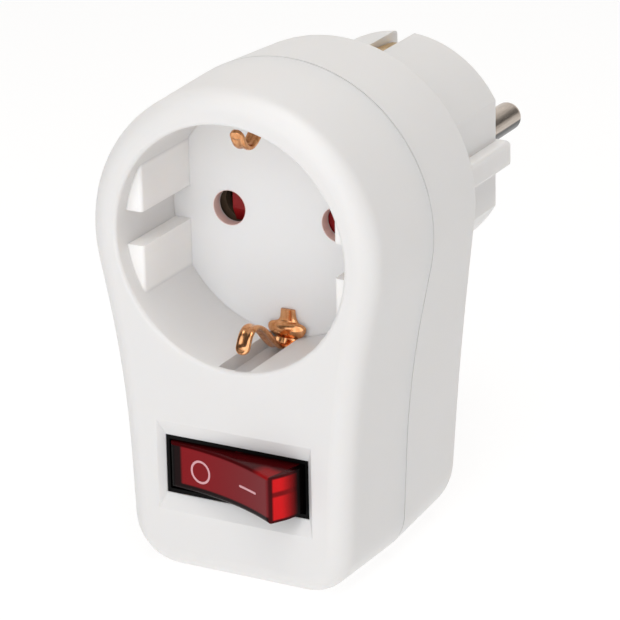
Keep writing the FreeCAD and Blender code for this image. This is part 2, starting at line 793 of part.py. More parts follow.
def plug_earth_bracket():
    # The brass U whose bowed ends lie in the notches of the plug.
    mid_y = bracket_y + sheet_t / 2
    leg_z = notch_floor_z + sheet_t / 2 + bracket_lift
    half = [
        (mid_y, 0),
        (mid_y, leg_z),
        (casing_depth + bow_start, leg_z),
        (casing_depth + bow_middle, leg_z + bow_rise),
        (plug_end_y - bow_end_gap, leg_z),
    ]
    upper = side_sheet(half, notch_w - 2 * bracket_side_gap)
    bracket = upper.fuse(mirrored(upper, Vector(0, 0, 1)))
    bracket = bracket.fuse(rod_y(bracket_hub_r, bracket_y, bracket_back_y))
    bracket = bracket.cut(rod_y(screw_r + screw_fit, bracket_y - over, bracket_back_y + over))
    for z in (-rivet_z, rivet_z):
        hole = rod_y(rivet_tenon_r + rivet_fit, bracket_y - over, bracket_back_y + over, 0, z)
        bracket = bracket.cut(hole)
    return bracket.removeSplitter()


def earth_rivets():
    rivets = []
    for z in (-rivet_z, rivet_z):
        barrel = rod_y(rivet_r, strap_back_y + sheet_t, bracket_y, 0, z)
        tenon = rod_y(rivet_tenon_r, strap_y, bracket_back_y + rivet_head_t / 2, 0, z)
        head = rod_y(rivet_head_r, bracket_back_y, bracket_back_y + rivet_head_t, 0, z)
        rivets.append(barrel.fuse([tenon, head]).removeSplitter())
    return Part.makeCompound(rivets)


def switch_housing():
    floor_y = box_back_y - box_floor
    collar = block(-collar_half_w, collar_half_w, collar_front_y, front_wall + sink,
                   switch_z - collar_half_h, switch_z + collar_half_h)
    body = block(-box_half_w, box_half_w, front_wall, box_back_y,
                 switch_z - box_half_h, switch_z + box_half_h)
    well = block(-well_half_w, well_half_w, collar_front_y - over, floor_y,
                 switch_z - well_half_h, switch_z + well_half_h)
    pocket_half = trunnion_end + trunnion_clearance
    pocket = rod_z(trunnion_r + trunnion_clearance, switch_z - pocket_half, switch_z + pocket_half,
                   0, rocker_pivot_y)
    partition = block(-well_half_w - sink / 2, lamp_leads_x[0] - 2 * lead_half, partition_front_y,
                      floor_y + sink, switch_z - partition_half_t, switch_z + partition_half_t)
    body = body.fuse(collar).cut(well).cut(pocket).fuse(partition)
    cuts = []
    for z in (upper_z, lower_z):
        for x in (0.0, fixed_blade_x):
            cuts.append(blade_slot(x, z, floor_y - over, box_back_y + over))
    hole = lead_half + lead_clearance
    for x in lamp_leads_x:
        cuts.append(block(x - hole, x + hole, floor_y - over, box_back_y + over,
                          switch_z - hole, switch_z + hole))
    return body.cut(cuts).removeSplitter()


def rocker_solid(drop, hollow, reach, shoulder, skirt, half_h, z=0.0):
    # The rocker's side about its pivot, level, with the hollow front towards -Y.
    foot = Vector(math.sqrt(reach ** 2 - shoulder ** 2), -shoulder, 0)
    depth = drop + hollow
    corner = Vector(foot.x - (depth - shoulder) * math.tan(math.radians(rocker_end_lean)), -depth, 0)
    bottom = Vector(math.sqrt(reach ** 2 - skirt ** 2), skirt, 0)
    halfway = (math.atan2(skirt, bottom.x) - math.atan2(shoulder, foot.x)) / 2
    middle = Vector(reach * math.cos(halfway), reach * math.sin(halfway), 0)
    flip = [Vector(-point.x, point.y, 0) for point in (corner, foot, middle, bottom)]
    edges = [
        Part.Arc(flip[0], Vector(0, -drop, 0), corner),
        Part.LineSegment(corner, foot),
        Part.Arc(foot, middle, bottom),
        Part.LineSegment(bottom, flip[3]),
        Part.Arc(flip[3], flip[2], flip[1]),
        Part.LineSegment(flip[1], flip[0]),
    ]
    section = Part.Face(Part.Wire([edge.toShape() for edge in edges]))
    section.translate(Vector(0, 0, z - half_h))
    return section.extrude(Vector(0, 0, 2 * half_h))


def at_rest(shape):
    # The O half is pressed in, so the level rocker is turned by half its travel.
    turned = shape.copy()
    turned.rotate(Vector(0, 0, 0), Vector(0, 0, 1), -rocker_half_angle)
    turned.translate(Vector(0, rocker_pivot_y, switch_z))
    return turned


def rocker():
    body = rocker_solid(rocker_drop, rocker_hollow, rocker_reach, rocker_shoulder, rocker_skirt,
                        rocker_half_h)
    rounded = []
    for edge in body.Edges:
        box = edge.BoundBox
        across = box.ZLength > rocker_half_h and box.YMax < 0
        along_front = box.XLength > rocker_reach and box.YMax < -rocker_shoulder
        if across or along_front:
            rounded.append(edge)
    body = body.makeFillet(rocker_edge_round, rounded)
    inner_h = (rocker_half_h - rocker_wall - rocker_rib_half_t) / 2
    hub = block(-rocker_hub_half_w, rocker_hub_half_w, -rocker_reach, rocker_reach,
                -rocker_half_h, rocker_half_h)
    for sign in (1, -1):
        chamber_z = sign * (rocker_rib_half_t + inner_h)
        chamber = rocker_solid(rocker_drop - rocker_wall, rocker_hollow, rocker_reach - rocker_wall,
                               rocker_shoulder, rocker_skirt + over, inner_h, chamber_z)
        body = body.cut(chamber.cut(hub))
        bore = rod_y(plunger_r + plunger_fit, -plunger_bore_top, rocker_skirt + over, 0, sign * pole_offset)
        body = body.cut(bore)
        ends = sorted((sign * (rocker_half_h - sink), sign * trunnion_end))
        body = body.fuse(rod_z(trunnion_r, ends[0], ends[1]))
    return at_rest(body.removeSplitter())


def plunger(sign):
    body = rod_y(plunger_r, plunger_tip - plunger_length, plunger_tip, 0, sign * pole_offset)
    return at_rest(body.makeChamfer(plunger_point, edges_at_y(body, plunger_tip)))


def plunger_spring(sign):
    spring = spring_sleeve(plunger_r - plunger_fit, plunger_tip - plunger_length + plunger_bore_top)
    spring.rotate(Vector(0, 0, 0), Vector(1, 0, 0), -90)
    spring.translate(Vector(0, -plunger_bore_top, sign * pole_offset))
    return at_rest(spring)


def contact_lever(z):
    # A rocking strip with a button over the fixed contact, balanced on a knife edge.
    half_w = lever_w / 2
    corners = []
    for x, y in ((-1, -lever_front), (1, -lever_front), (1, -knife_r), (-1, -knife_r)):
        corners.append((plan(x * lever_half_l, y), lever_end_round))
    bar = flat_face(corners)
    bar.translate(Vector(0, 0, -half_w))
    bar = bar.extrude(Vector(0, 0, lever_w))
    bar = bar.cut(rod_z(knife_r + knife_clearance, -half_w - over, half_w + over))
    button = rod_y(contact_r, -knife_r - lever_t / 2, -knife_r + contact_t, -contact_x)
    lever = bar.fuse(button).removeSplitter()
    lever.rotate(Vector(0, 0, 0), Vector(0, 0, 1), lever_tilt)
    lever.translate(Vector(0, lever_hinge_y, z))
    return lever


def centre_terminal(z):
    half_w = lever_w / 2
    end_y = feed_y + sheet_t + blade_out
    blade = block(-blade_t / 2, blade_t / 2, lever_hinge_y, end_y, z - half_w, z + half_w)
    return blade.fuse(rod_z(knife_r, z - half_w, z + half_w, 0, lever_hinge_y)).removeSplitter()


def fixed_contact(z):
    half_w = lever_w / 2
    left = fixed_blade_x - blade_t / 2
    blade = block(left, left + blade_t, fixed_blade_y, strap_back_y + blade_out, z - half_w, z + half_w)
    top = block(left, foot_margin - contact_x, fixed_blade_y, fixed_blade_y + blade_t, z - half_w, z + half_w)
    button = rod_y(contact_r, fixed_button_y, fixed_blade_y + blade_t / 2, -contact_x, z)
    return blade.fuse([top, button]).removeSplitter()


def indicator_lamp():
    bulb = rod_x(lamp_r, lamp_x - lamp_length / 2, lamp_x + lamp_length / 2, lamp_y, switch_z)
    bulb = bulb.makeChamfer(lamp_end, bulb.Edges)
    leads = []
    for x in lamp_leads_x:
        towards = math.copysign(lead_gap + sink, lamp_x - x)
        ends = sorted((x - math.copysign(lead_half, towards), x + towards))
        leads.append(block(ends[0], ends[1], lamp_y - lead_half, lamp_y + lead_half,
                           switch_z - lead_half, switch_z + lead_half))
        leads.append(block(x - lead_half, x + lead_half, lamp_y, lead_end_y,
                           switch_z - lead_half, switch_z + lead_half))
    return bulb.fuse(leads).removeSplitter()


def lamp_resistor():
    # It lies behind the switch, with one end of its wire on a lead of the lamp.
    y = lead_end_y + lead_half
    start = lamp_leads_x[0] - lead_half
    finish = lamp_leads_x[1] - 4 * lead_half
    middle = (start + finish) / 2
    body = rod_x(resistor_r, middle - resistor_length / 2, middle + resistor_length / 2, y, switch_z)
    body = body.makeChamfer(resistor_end, body.Edges)
    wire = block(start, finish, y - lead_half, y + lead_half, switch_z - lead_half, switch_z + lead_half)
    return body.fuse(wire).removeSplitter()


parts = {
    "front_cover": front_cover(),
    "rear_housing": rear_housing(),
    "casing_screws": casing_screws(),
    "left_pin": plug_pin(-pin_x),
    "right_pin": plug_pin(pin_x),
    "left_feed_strip": feed_strip(-pin_x, lower_z),
    "right_feed_strip": feed_strip(pin_x, upper_z),
    "left_socket_contact": left_socket_contact(),
    "right_socket_contact": right_socket_contact(),
    "contact_carrier": contact_carrier(),
    "pin_shutter": pin_shutter(),
    "shutter_spring": shutter_spring(),
    "upper_earth_contact": earth_contact(1),
    "lower_earth_contact": earth_contact(-1),
    "earth_strap": earth_strap(),
    "plug_earth_bracket": plug_earth_bracket(),
    "earth_rivets": earth_rivets(),
    "switch_housing": switch_housing(),
    "rocker": rocker(),
    "upper_plunger": plunger(1),
    "lower_plunger": plunger(-1),
    "upper_plunger_spring": plunger_spring(1),
    "lower_plunger_spring": plunger_spring(-1),
    "upper_contact_lever": contact_lever(upper_z),
    "lower_contact_lever": contact_lever(lower_z),
    "upper_centre_terminal": centre_terminal(upper_z),
    "lower_centre_terminal": centre_terminal(lower_z),
    "upper_fixed_contact": fixed_contact(upper_z),
    "lower_fixed_contact": fixed_contact(lower_z),
    "indicator_lamp": indicator_lamp(),
    "lamp_resistor": lamp_resistor(),
}

# The rocker's raised end reaches furthest forward and the pins furthest back.
foremost = parts["rocker"].optimalBoundingBox().YMin
hindmost = plug_end_y + pin_length
shift = Vector(0, -(foremost + hindmost) / 2, base_depth)

os.makedirs("parts", exist_ok=True)
for name, shape in parts.items():
    placed = shape.copy()
    placed.translate(shift)
    print(name, "valid" if placed.isValid() else "NOT VALID", len(placed.Solids), "solids",
          round(placed.Volume, 1), "mm3")
    placed.exportStep("parts/" + name + ".step")

print("shift", [round(value, 4) for value in shift])
print("rocker pivot", [round(value, 4) for value in Vector(0, rocker_pivot_y, switch_z) + shift])
print("lever hinges", [round(value, 4) for value in Vector(0, lever_hinge_y, upper_z) + shift],
      [round(value, 4) for value in Vector(0, lever_hinge_y, lower_z) + shift])
print("shutter axis", [round(value, 4) for value in Vector(0, shutter_y, 0) + shift])
print("spring fixed end", round(return_stop_z + shift.z, 4))
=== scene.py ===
import json
import math
import bmesh
import bpy
from mathutils import Matrix, Vector


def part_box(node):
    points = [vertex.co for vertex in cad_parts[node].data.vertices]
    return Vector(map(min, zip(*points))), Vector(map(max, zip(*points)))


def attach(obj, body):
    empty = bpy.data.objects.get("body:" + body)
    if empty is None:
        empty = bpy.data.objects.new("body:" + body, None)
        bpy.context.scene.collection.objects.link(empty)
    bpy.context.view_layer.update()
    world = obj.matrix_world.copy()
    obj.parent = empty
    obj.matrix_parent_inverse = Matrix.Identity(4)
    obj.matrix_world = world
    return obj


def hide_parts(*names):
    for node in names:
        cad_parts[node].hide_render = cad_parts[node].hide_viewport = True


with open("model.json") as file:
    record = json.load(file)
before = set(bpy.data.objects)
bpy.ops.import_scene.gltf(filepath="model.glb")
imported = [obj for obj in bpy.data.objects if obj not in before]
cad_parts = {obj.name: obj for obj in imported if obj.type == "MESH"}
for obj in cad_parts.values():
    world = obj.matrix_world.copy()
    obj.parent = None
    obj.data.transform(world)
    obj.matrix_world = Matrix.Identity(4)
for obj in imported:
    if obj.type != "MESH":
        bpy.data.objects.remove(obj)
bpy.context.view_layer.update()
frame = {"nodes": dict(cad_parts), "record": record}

mm = 0.001

# The object is measured from the socket: X from its middle, Y behind the front face, Z above its axis.
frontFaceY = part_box("front_cover")[0].y
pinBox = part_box("right_pin")
socketAxisZ = (pinBox[0].z + pinBox[1].z) / 2


def place(x, y, z):
    return Vector((x * mm, frontFaceY + y * mm, socketAxisZ + z * mm))


def hexColour(code):
    # sRGB hex to the linear values that the shaders want
    parts = [int(code[i:i + 2], 16) / 255 for i in (1, 3, 5)]
    linear = [c / 12.92 if c <= 0.04045 else ((c + 0.055) / 1.055) ** 2.4 for c in parts]
    return (*linear, 1.0)


def addNode(tree, kind, settings=None, values=None, links=None):
    # one node with its settings, its socket values and what feeds it
    node = tree.nodes.new(kind)
    for key, value in (settings or {}).items():
        setattr(node, key, value)
    for key, value in (values or {}).items():
        node.inputs[key].default_value = value
    for key, (source, output) in (links or {}).items():
        tree.links.new(source.outputs[output], node.inputs[key])
    return node


def newMaterial(name):
    material = bpy.data.materials.new(name)
    material.use_nodes = True
    material.node_tree.nodes.clear()
    return material, material.node_tree


def finishMaterial(tree, shader):
    end = tree.nodes.new("ShaderNodeOutputMaterial")
    tree.links.new(shader.outputs["BSDF"], end.inputs["Surface"])


# Camera: solved from the round pins, the recess and the base outline in the photograph
cameraSettings = {
    "aim": (9.502, 8.0, -10.575),  # mm from the socket datum
    "azimuth": 28.635,
    "elevation": 20.681,
    "roll": -1.136,
    "distance": 550.0,  # mm
    "lens": 211.41,
    "sensor": 36.0,
    "clip": (0.01, 20.0),  # m
}


def makeCamera(s):
    az, el, roll = (math.radians(s[k]) for k in ("azimuth", "elevation", "roll"))
    back = Vector((math.sin(az) * math.cos(el), -math.cos(az) * math.cos(el), math.sin(el)))
    right = (-back).cross(Vector((0, 0, 1))).normalized()
    up = right.cross(-back)
    rolledRight = right * math.cos(roll) + up * math.sin(roll)
    rolledUp = up * math.cos(roll) - right * math.sin(roll)
    data = bpy.data.cameras.new("camera")
    data.lens = s["lens"]
    data.sensor_width = s["sensor"]
    data.clip_start, data.clip_end = s["clip"]
    camera = bpy.data.objects.new("camera", data)
    bpy.context.scene.collection.objects.link(camera)
    turn = Matrix((rolledRight, rolledUp, back)).transposed().to_4x4()
    camera.matrix_world = Matrix.Translation(place(*s["aim"]) + back * s["distance"] * mm) @ turn
    bpy.context.scene.camera = camera


makeCamera(cameraSettings)
print("camera set")

# Light: a soft box in front that reaches into the socket, one overhead, and a dim room with a white
# backdrop behind the object and a white band round the horizon
lightSettings = {
    "room": 0.1,
    "band": 0.72,
    "backdrop": 0.95,
    "roomTint": (1.0, 0.975, 0.95, 1.0),
    "towards": (-0.479, 0.878, 0.0),  # the backdrop's middle
    "edge": (0.55, 0.75),  # cosine of the angle where the backdrop starts and where it is full
    "horizon": (0.16, 0.1),  # sine of the elevation where the band starts and where it is full
    "aim": (0, 10, -10),  # mm from the socket datum, as the lamps' places are
    "lamps": {
        "front": {"at": (105, -690, 290), "size": 1.0, "watts": 3.9, "tint": (0.96, 0.985, 1.02)},
        "top": {"at": (120, -60, 630), "size": 0.6, "watts": 2.9, "tint": (1.0, 0.99, 0.97)},
    },
}


def makeLights(s):
    world = bpy.data.worlds.new("room")
    world.use_nodes = True
    tree = world.node_tree
    where = addNode(tree, "ShaderNodeTexCoord")
    facing = addNode(tree, "ShaderNodeVectorMath", {"operation": "DOT_PRODUCT"}, {1: s["towards"]},
                     {0: (where, "Generated")})
    behind = addNode(tree, "ShaderNodeMapRange", {"interpolation_type": "SMOOTHSTEP"},
                     {"From Min": s["edge"][0], "From Max": s["edge"][1]}, {"Value": (facing, "Value")})
    parts = addNode(tree, "ShaderNodeSeparateXYZ", links={"Vector": (where, "Generated")})
    low = addNode(tree, "ShaderNodeMapRange", {"interpolation_type": "SMOOTHSTEP"},
                  {"From Min": s["horizon"][0], "From Max": s["horizon"][1]}, {"Value": (parts, "Z")})
    allRound = addNode(tree, "ShaderNodeMapRange", values={"To Min": s["room"], "To Max": s["band"]},
                       links={"Value": (low, "Result")})
    strength = addNode(tree, "ShaderNodeMapRange", values={"To Max": s["backdrop"]},
                       links={"Value": (behind, "Result"), "To Min": (allRound, "Result")})
    background = tree.nodes["Background"]
    background.inputs["Color"].default_value = s["roomTint"]
    tree.links.new(strength.outputs["Result"], background.inputs["Strength"])
    bpy.context.scene.world = world
    middle = place(*s["aim"])
    for name, lampSettings in s["lamps"].items():
        lamp = bpy.data.lights.new(name, "AREA")
        lamp.shape = "DISK"
        lamp.size = lampSettings["size"]
        lamp.energy = lampSettings["watts"]
        lamp.color = lampSettings["tint"]
        holder = bpy.data.objects.new(name, lamp)
        bpy.context.scene.collection.objects.link(holder)
        spot = place(*lampSettings["at"])
        holder.location = spot
        holder.rotation_euler = (middle - spot).to_track_quat("-Z", "Y").to_euler()


# Floor: a white paper sweep that glows a little, as lit paper does, so only a faint shadow is left
floorSettings = {
    "colour": "#888888",
    "roughness": 0.9,
    "gloss": 0.1,
    "glow": 0.82,
    "glowTint": (1.0, 0.995, 0.99, 1.0),
    "reach": 2.5,  # m
}


def makeFloor(s):
    material, tree = newMaterial("litPaperSweep")
    shader = addNode(tree, "ShaderNodeBsdfPrincipled", values={
        "Base Color": hexColour(s["colour"]), "Roughness": s["roughness"], "Specular IOR Level": s["gloss"],
        "Emission Color": s["glowTint"], "Emission Strength": s["glow"]})
    finishMaterial(tree, shader)
    mesh = bpy.data.meshes.new("floor")
    corners = [(x * s["reach"], y * s["reach"], 0) for x, y in ((-1, -1), (1, -1), (1, 1), (-1, 1))]
    mesh.from_pydata(corners, [], [(0, 1, 2, 3)])
    mesh.materials.append(material)
    floor = bpy.data.objects.new("floor", mesh)
    bpy.context.scene.collection.objects.link(floor)


makeLights(lightSettings)
makeFloor(floorSettings)
bpy.context.scene.view_settings.view_transform = "Standard"
print("light and floor set")

# White ABS, injection moulded: a soft satin sheen, with the faint grain that a spark-eroded mould
# leaves. Light goes a little way in, which softens the shadows. The socket is painted whiter, as painted
# light that lifts the shade in the recess; its floor, which the front lamp reaches straight, a little less.
whiteAbs = {
    "colour": "#E5E3E2",
    "shade": "#E0DEDC",
    "cloud": 25.0,  # mm, size of the faint clouds in the resin
    # painted light: the socket's walls are painted whiter than the casing to lift the shade in the recess;
    # the floor is painted a little less light
    "socket": "#FAF7F4",
    "socketFloor": "#EEEDEC",
    "socketR": 19.45,  # mm
    "socketEdge": (0.1, -0.3),  # mm past that radius where the socket's white starts and where it is full
    "floorY": (17.25, 17.45),  # mm behind the front face where the floor's white starts and is full
    "socketBack": (19.0, 19.6),  # mm behind the front face where the socket's colours fade out
    "pinHole": "#F0D2CB",  # painted reflection: pink light bounced off the red shutter behind the holes
    "pinX": 9.5,  # mm
    "pinHoleR": 2.8,  # mm
    "pinHoleEdge": (0.12, 0.04),  # mm past that radius
    "grain": 0.25,  # mm, coarser than the mould's real grain, which wouldn't show
    "grainHeight": 0.004,  # mm
    "grainStrength": 0.3,
    "roughness": 0.4,
    "roughnessSpread": (-0.04, 0.05),
    "ior": 1.53,
    "gloss": 0.35,
    "glow": 0.3,
    "glowDepth": 3.0,  # mm
    "glowByColour": (1.0, 0.85, 0.7),
}


def mouldedWhiteAbs(s):
    material, tree = newMaterial("mouldedWhiteAbs")
    where = addNode(tree, "ShaderNodeTexCoord")
    clouds = addNode(tree, "ShaderNodeTexNoise", values={"Scale": 1 / (s["cloud"] * mm), "Detail": 3.0},
                     links={"Vector": (where, "Object")})
    tint = addNode(tree, "ShaderNodeValToRGB", links={"Fac": (clouds, "Fac")})
    tint.color_ramp.elements[0].color = hexColour(s["shade"])
    tint.color_ramp.elements[1].color = hexColour(s["colour"])

    # painted light on the socket, laid by the distance from its axis and behind the front face
    flat = addNode(tree, "ShaderNodeMapping", values={"Location": (0, 0, -socketAxisZ), "Scale": (1, 0, 1)},
                   links={"Vector": (where, "Object")})
    radius = addNode(tree, "ShaderNodeVectorMath", {"operation": "LENGTH"}, links={0: (flat, "Vector")})
    edge = [(s["socketR"] + past) * mm for past in s["socketEdge"]]
    within = addNode(tree, "ShaderNodeMapRange", {"interpolation_type": "SMOOTHSTEP"},
                     {"From Min": edge[0], "From Max": edge[1]}, {"Value": (radius, "Value")})
    parts = addNode(tree, "ShaderNodeSeparateXYZ", links={"Vector": (where, "Object")})
    floorY = [frontFaceY + y * mm for y in s["floorY"]]
    atFloor = addNode(tree, "ShaderNodeMapRange", values={"From Min": floorY[0], "From Max": floorY[1]},
                      links={"Value": (parts, "Y")})
    inside = addNode(tree, "ShaderNodeMix", {"data_type": "RGBA"},
                     {6: hexColour(s["socket"]), 7: hexColour(s["socketFloor"])}, {0: (atFloor, "Result")})
    backY = [frontFaceY + y * mm for y in s["socketBack"]]
    before = addNode(tree, "ShaderNodeMapRange", links={"Value": (parts, "Y")},
                     values={"From Min": backY[0], "From Max": backY[1], "To Min": 1.0, "To Max": 0.0})
    paintedSocketLight = addNode(tree, "ShaderNodeMath", {"operation": "MULTIPLY"},
                         links={0: (within, "Result"), 1: (before, "Result")})
    casing = addNode(tree, "ShaderNodeMix", {"data_type": "RGBA"},
                     links={0: (paintedSocketLight, "Value"), 6: (tint, "Color"), 7: (inside, 2)})

    # the walls of the two pin holes, where the pink painted reflection of the red shutter goes
    sides = addNode(tree, "ShaderNodeVectorMath", {"operation": "ABSOLUTE"}, links={0: (flat, "Vector")})
    fromPin = addNode(tree, "ShaderNodeVectorMath", {"operation": "DISTANCE"}, {1: (s["pinX"] * mm, 0, 0)},
                      {0: (sides, "Vector")})
    edge = [(s["pinHoleR"] + past) * mm for past in s["pinHoleEdge"]]
    inHole = addNode(tree, "ShaderNodeMapRange", {"interpolation_type": "SMOOTHSTEP"},
                     {"From Min": edge[0], "From Max": edge[1]}, {"Value": (fromPin, "Value")})
    holeWall = addNode(tree, "ShaderNodeMath", {"operation": "MULTIPLY"},
                       links={0: (inHole, "Result"), 1: (before, "Result")})
    body = addNode(tree, "ShaderNodeMix", {"data_type": "RGBA"}, {7: hexColour(s["pinHole"])},
                   {0: (holeWall, "Value"), 6: (casing, 2)})

    grain = addNode(tree, "ShaderNodeTexNoise", values={"Scale": 1 / (s["grain"] * mm), "Detail": 2.0},
                    links={"Vector": (where, "Object")})
    bump = addNode(tree, "ShaderNodeBump", links={"Height": (grain, "Fac")},
                   values={"Strength": s["grainStrength"], "Distance": s["grainHeight"] * mm})
    least, most = (s["roughness"] + spread for spread in s["roughnessSpread"])
    rough = addNode(tree, "ShaderNodeMapRange", values={"To Min": least, "To Max": most},
                    links={"Value": (grain, "Fac")})
    shader = addNode(tree, "ShaderNodeBsdfPrincipled", values={
        "IOR": s["ior"], "Specular IOR Level": s["gloss"], "Subsurface Weight": s["glow"],
        "Subsurface Scale": s["glowDepth"] * mm, "Subsurface Radius": s["glowByColour"]},
        links={"Base Color": (body, 2), "Roughness": (rough, "Result"), "Normal": (bump, "Normal")})
    finishMaterial(tree, shader)
    return material


# Metals. Colours are of clean metal and of its duller patches, grain is in mm and stretch draws the
# grain out along an axis. The grain is drawn coarser than it is, because the real one wouldn't show.
metalSurface = {
    "patches": (0.3, 0.65),  # up to the first value of the noise it is dull, from the second clean
    "roughnessSpread": (0.8, 1.3),
    "grainHeight": 0.004,  # mm
    "grainStrength": 0.2,
    "undersideShadeFade": (0.0, -0.14),  # how far a face looks down where the painted dark underside starts and where it is full
}
metals = {
    # bronze strip, rolled and pressed: warm orange, with fine lines along it and bright bends
    "bronze": {"name": "rolledBronze", "colour": "#EBAF7E", "shade": "#CF8B58", "roughness": 0.2,
               "grain": 0.5, "stretch": (1, 1, 0.25)},
    # brass strip, rolled and stamped: pale yellow, softly streaked
    "brass": {"name": "rolledBrass", "colour": "#EACB94", "shade": "#D6B074", "roughness": 0.24,
              "grain": 0.4, "stretch": (1, 0.2, 1)},
    # pins, turned and nickel plated: warm grey satin, with painted shade: the side that looks down is painted
    # near black, a painted dark reflection
    "nickel": {"name": "satinNickel", "colour": "#C6BBB0", "shade": "#B5AA9F", "roughness": 0.22,
               "grain": 0.3, "stretch": (1, 0.1, 1), "paintedUnderside": "#12100F"},
    # screws, zinc plated: cool grey, a little mottled
    "zinc_steel": {"name": "zincPlatedSteel", "colour": "#B9BCC2", "shade": "#9A9DA4", "roughness": 0.3,
                   "grain": 0.2},
    # spring wire, drawn: darker grey with a fine speckle
    "spring_steel": {"name": "drawnSpringSteel", "colour": "#A9ABB0", "shade": "#85878C",
                     "roughness": 0.28, "grain": 0.1},
}


def metal(name, colour, shade, roughness, grain, stretch=(1, 1, 1), paintedUnderside=None, s=metalSurface):
    material, tree = newMaterial(name)
    where = addNode(tree, "ShaderNodeTexCoord")
    turn = addNode(tree, "ShaderNodeMapping", values={"Scale": stretch}, links={"Vector": (where, "Object")})
    lines = addNode(tree, "ShaderNodeTexNoise", values={"Scale": 1 / (grain * mm), "Detail": 3.0},
                    links={"Vector": (turn, "Vector")})
    tint = addNode(tree, "ShaderNodeValToRGB", links={"Fac": (lines, "Fac")})
    for element, position, code in zip(tint.color_ramp.elements, s["patches"], (shade, colour)):
        element.position = position
        element.color = hexColour(code)
    least, most = (roughness * spread for spread in s["roughnessSpread"])
    rough = addNode(tree, "ShaderNodeMapRange", values={"To Min": least, "To Max": most},
                    links={"Value": (lines, "Fac")})
    bump = addNode(tree, "ShaderNodeBump", links={"Height": (lines, "Fac")},
                   values={"Strength": s["grainStrength"], "Distance": s["grainHeight"] * mm})
    shader = addNode(tree, "ShaderNodeBsdfPrincipled", values={"Metallic": 1.0},
                     links={"Base Color": (tint, "Color"), "Roughness": (rough, "Result"),
                            "Normal": (bump, "Normal")})
    # painted shade: faces that look down are painted near black and made less metal, a painted dark
    # reflection
    if paintedUnderside:
        faces = addNode(tree, "ShaderNodeSeparateXYZ", links={"Vector": (where, "Normal")})
        below = addNode(tree, "ShaderNodeMapRange", {"interpolation_type": "SMOOTHSTEP"},
                        {"From Min": s["undersideShadeFade"][0], "From Max": s["undersideShadeFade"][1]}, {"Value": (faces, "Z")})
        body = addNode(tree, "ShaderNodeMix", {"data_type": "RGBA"}, {7: hexColour(paintedUnderside)},
                       {0: (below, "Result"), 6: (tint, "Color")})
        metallicUnlessShaded = addNode(tree, "ShaderNodeMapRange", values={"To Min": 1.0, "To Max": 0.0},
                        links={"Value": (below, "Result")})
        tree.links.new(body.outputs[2], shader.inputs["Base Color"])
        tree.links.new(metallicUnlessShaded.outputs["Result"], shader.inputs["Metallic"])
    finishMaterial(tree, shader)
    return material


# Plastics, glass and lacquer, each with a fine speckle in its colour, gloss and surface. Grain is in mm
# and, where it is finer than this on the real piece, drawn as coarse as it needs to show.
plasticSurface = {
    "roughnessSpread": (0.85, 1.2),
    "grainHeight": 0.004,  # mm
    "grainStrength": 0.25,
}
plastics = {
    # nylon, moulded: nearly black and dull, so the switch's frame reads as a dark outline
    "black_nylon": {"name": "mouldedBlackNylon", "colour": "#070606", "shade": "#040404",
                    "roughness": 0.4, "gloss": 0.08},
    # nylon, moulded: deep red with a soft sheen, behind the pin holes
    "red_nylon": {"name": "mouldedRedNylon", "colour": "#96151A", "shade": "#7C0E12", "roughness": 0.35,
                  "grain": 0.8, "gloss": 0.3},
    # resin, moulded under heat: brown and dull
    "carrier_resin": {"name": "mouldedResin", "colour": "#75604C", "shade": "#63503F", "roughness": 0.5},
    # glass tube, drawn: clear, with a warm tint from the gas
    "lamp_glass": {"name": "clearLampGlass", "colour": "#FFE9DC", "shade": "#F5DCCB", "roughness": 0.05,
                   "clear": 0.9},
    # resistor, dipped in lacquer: tan with a little shine
    "resistor_lacquer": {"name": "lacqueredResistor", "colour": "#C8A878", "shade": "#B59460",
                         "roughness": 0.35},
}


def plastic(name, colour, shade, roughness, grain=0.3, ior=1.5, gloss=0.5, clear=0.0, s=plasticSurface):
    material, tree = newMaterial(name)
    where = addNode(tree, "ShaderNodeTexCoord")
    speckle = addNode(tree, "ShaderNodeTexNoise", values={"Scale": 1 / (grain * mm), "Detail": 2.0},
                      links={"Vector": (where, "Object")})
    tint = addNode(tree, "ShaderNodeValToRGB", links={"Fac": (speckle, "Fac")})
    tint.color_ramp.elements[0].color = hexColour(shade)
    tint.color_ramp.elements[1].color = hexColour(colour)
    least, most = (roughness * spread for spread in s["roughnessSpread"])
    rough = addNode(tree, "ShaderNodeMapRange", values={"To Min": least, "To Max": most},
                    links={"Value": (speckle, "Fac")})
    bump = addNode(tree, "ShaderNodeBump", links={"Height": (speckle, "Fac")},
                   values={"Strength": s["grainStrength"], "Distance": s["grainHeight"] * mm})
    shader = addNode(tree, "ShaderNodeBsdfPrincipled", values={
        "IOR": ior, "Transmission Weight": clear, "Specular IOR Level": gloss},
        links={"Base Color": (tint, "Color"), "Roughness": (rough, "Result"), "Normal": (bump, "Normal")})
    finishMaterial(tree, shader)
    return material


# The rocker's own level frame, in mm from its pivot: X along it, Y into the switch, Z up
rockerFrame = {
    "pivot": (0.0, 2.3, -37.0),  # mm from the socket datum
    "turn": 16.4,  # degrees, with the O end pressed in
    "drop": 3.53,
    "hollowR": 44.678,
    "halfLength": 10.7,
    "halfHeight": 3.8,
}


def onRocker(x, z, lift, s=rockerFrame):
    # a point of the rocker's hollow front, lifted off it, as the rocker rests
    y = -s["drop"] - s["hollowR"] + math.sqrt(s["hollowR"] ** 2 - x ** 2) - lift
    a = math.radians(s["turn"])
    pivot = s["pivot"]
    return place(pivot[0] + x * math.cos(a) + y * math.sin(a),
                 pivot[1] - x * math.sin(a) + y * math.cos(a), pivot[2] + z)
